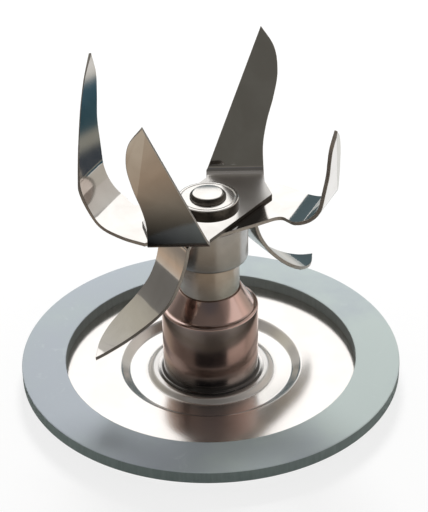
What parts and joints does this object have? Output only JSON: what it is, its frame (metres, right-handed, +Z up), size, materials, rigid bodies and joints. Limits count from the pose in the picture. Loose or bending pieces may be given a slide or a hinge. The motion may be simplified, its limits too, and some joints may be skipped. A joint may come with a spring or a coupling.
{
  "type": "blender blade assembly",
  "caption": "Jar-bottom blender cutter: bent steel blades on a shaft in a drawn steel base, with a loose rubber sealing ring and a square drive socket below.",
  "frame": {"origin": "on the shaft axis, in the plane of the underside of the base's recess, which is the lowest plane of the part", "axes": "+Z up along the shaft towards the blades; -Y towards the viewer of the picture, on the side of the nearest upper arm"},
  "size_m": [0.0666, 0.0666, 0.0581],
  "materials": {
    "drawn_stainless": "deep drawn and polished",
    "blade_steel": "bright polished, ground edges",
    "turned_stainless": "fine turned and polished",
    "seal_rubber": "satin moulded",
    "sintered_bronze": "sintered, oil filled",
    "oil_felt": "pressed wool felt",
    "washer_nylon": "plain moulded",
    "coupling_steel": "sintered, matt"
  },
  "bodies": {
    "base": {"drawn_base": "drawn_stainless", "sealing_ring": "seal_rubber", "bearing_sleeve": "turned_stainless", "lower_bush": "sintered_bronze", "upper_bush": "sintered_bronze", "oil_felt": "oil_felt", "shaft_seal": "seal_rubber", "neck_o_ring": "seal_rubber"},
    "rotor": {"drive_shaft": "turned_stainless", "slinger_collar": "turned_stainless", "lower_blade": "blade_steel", "middle_blade": "blade_steel", "upper_blade": "blade_steel", "top_washer": "turned_stainless", "upper_thrust_washer": "washer_nylon", "lower_thrust_washer": "washer_nylon", "drive_coupling": "coupling_steel"}
  },
  "joints": [
    {"name": "blade_spin", "type": "hinge", "parent": "base", "child": "rotor", "pos_m": [0, 0, 0.02], "axis": [0, 0, 1], "continuous": true}
  ]
}
